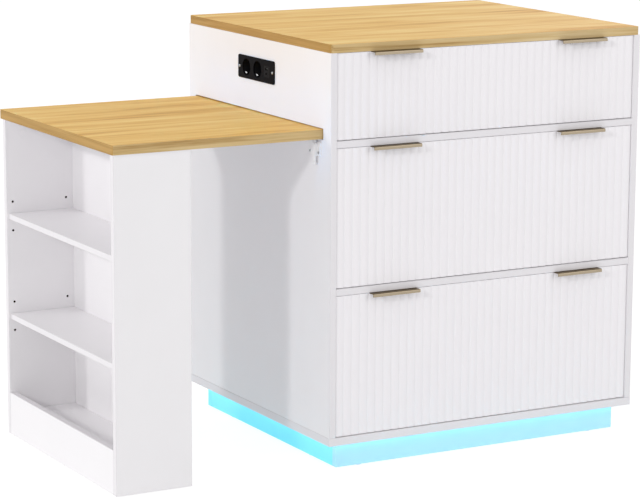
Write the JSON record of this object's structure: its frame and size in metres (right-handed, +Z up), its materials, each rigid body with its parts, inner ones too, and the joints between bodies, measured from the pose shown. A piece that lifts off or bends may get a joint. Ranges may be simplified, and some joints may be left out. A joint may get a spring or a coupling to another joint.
{
  "type": "kitchen island unit",
  "caption": "Kitchen island cabinet with ribbed drawers, edge-pull handles, socket plate, lit plinth and a side table sliding out on an open shelf pillar.",
  "frame": {"origin": "on the floor under the middle of the whole unit's box, with the side table drawn out", "axes": "+X from the table's shelf pillar to the cabinet, +Y from the drawer fronts to the back, +Z up"},
  "size_m": [1.253, 0.679, 0.91],
  "materials": {
    "white_melamine": "white melamine-faced board, satin",
    "oak_laminate": "light oak-effect laminate, satin, grain along X",
    "lit_plinth": "white board lit cyan by the light tape",
    "light_tape": "cyan light tape, on",
    "zinc_steel": "zinc-plated steel",
    "bronze_handle": "brushed bronze-coloured metal",
    "black_gloss": "black satin-gloss plastic",
    "black_plastic": "black moulded plastic",
    "white_plastic": "white moulded plastic",
    "cable_sheath": "black flexible sheath",
    "castor_rubber": "grey rubber tread"
  },
  "bodies": {
    "cabinet": {"worktop": "oak_laminate", "left_side_panel": "white_melamine", "right_side_panel": "white_melamine", "bottom_board": "white_melamine", "back_panel": "white_melamine", "upper_divider": "white_melamine", "lower_divider": "white_melamine", "wiring_duct_panel": "white_melamine", "table_guides": "white_melamine", "plinth_front": "lit_plinth", "plinth_back": "lit_plinth", "plinth_sides": "lit_plinth", "floor_glides": "white_plastic", "light_tape": "light_tape", "light_driver": "white_plastic", "socket_plate": "black_gloss", "socket_inserts": "black_plastic", "charging_module": "black_plastic", "socket_back_box": "black_plastic", "socket_cable": "cable_sheath", "cable_gland": "black_plastic", "lock_housing": "white_plastic", "small_screws": "zinc_steel", "cam_bolts": "zinc_steel", "cam_discs": "zinc_steel", "upper_runners": "zinc_steel", "middle_runners": "zinc_steel", "lower_runners": "zinc_steel"},
    "upper_drawer": {"upper_front": "white_melamine", "upper_box_sides": "white_melamine", "upper_box_back": "white_melamine", "upper_box_bottom": "white_melamine", "upper_slides": "zinc_steel", "upper_handles": "bronze_handle"},
    "middle_drawer": {"middle_front": "white_melamine", "middle_box_sides": "white_melamine", "middle_box_back": "white_melamine", "middle_box_bottom": "white_melamine", "middle_slides": "zinc_steel", "middle_handles": "bronze_handle"},
    "lower_drawer": {"lower_front": "white_melamine", "lower_box_sides": "white_melamine", "lower_box_back": "white_melamine", "lower_box_bottom": "white_melamine", "lower_slides": "zinc_steel", "lower_handles": "bronze_handle"},
    "table": {"table_board": "oak_laminate", "pillar_near_panel": "white_melamine", "pillar_far_panel": "white_melamine", "pillar_back_panel": "white_melamine", "pillar_upper_shelf": "white_melamine", "pillar_lower_shelf": "white_melamine", "pillar_floor_board": "white_melamine", "pillar_toe_board": "white_melamine", "shelf_pins": "zinc_steel", "pillar_fittings": "zinc_steel", "castor_forks": "zinc_steel"},
    "castor_near": {"castor_wheel_near": "castor_rubber"},
    "castor_far": {"castor_wheel_far": "castor_rubber"},
    "lock": {"lock_bolt": "white_plastic"}
  },
  "joints": [
    {"name": "upper_drawer_slide", "type": "slide", "parent": "cabinet", "child": "upper_drawer", "axis": [0, -1, 0], "range_m": [0, 0.3]},
    {"name": "middle_drawer_slide", "type": "slide", "parent": "cabinet", "child": "middle_drawer", "axis": [0, -1, 0], "range_m": [0, 0.3]},
    {"name": "lower_drawer_slide", "type": "slide", "parent": "cabinet", "child": "lower_drawer", "axis": [0, -1, 0], "range_m": [0, 0.3]},
    {"name": "table_slide", "type": "slide", "parent": "cabinet", "child": "table", "axis": [1, 0, 0], "range_m": [0, 0.288]},
    {"name": "castor_near_roll", "type": "hinge", "parent": "table", "child": "castor_near", "pos_m": [-0.5365, -0.2465, 0.016], "axis": [0, 1, 0], "range_deg": [0, 1040]},
    {"name": "castor_far_roll", "type": "hinge", "parent": "table", "child": "castor_far", "pos_m": [-0.5365, 0.2575, 0.016], "axis": [0, 1, 0], "range_deg": [0, 1040]},
    {"name": "lock_slide", "type": "slide", "parent": "cabinet", "child": "lock", "axis": [0, 0, 1], "range_m": [0, 0.012]}
  ],
  "couplings": [
    {"joint": "castor_near_roll", "follows": "table_slide", "rad_per_m": 62.5},
    {"joint": "castor_far_roll", "follows": "table_slide", "rad_per_m": 62.5}
  ]
}
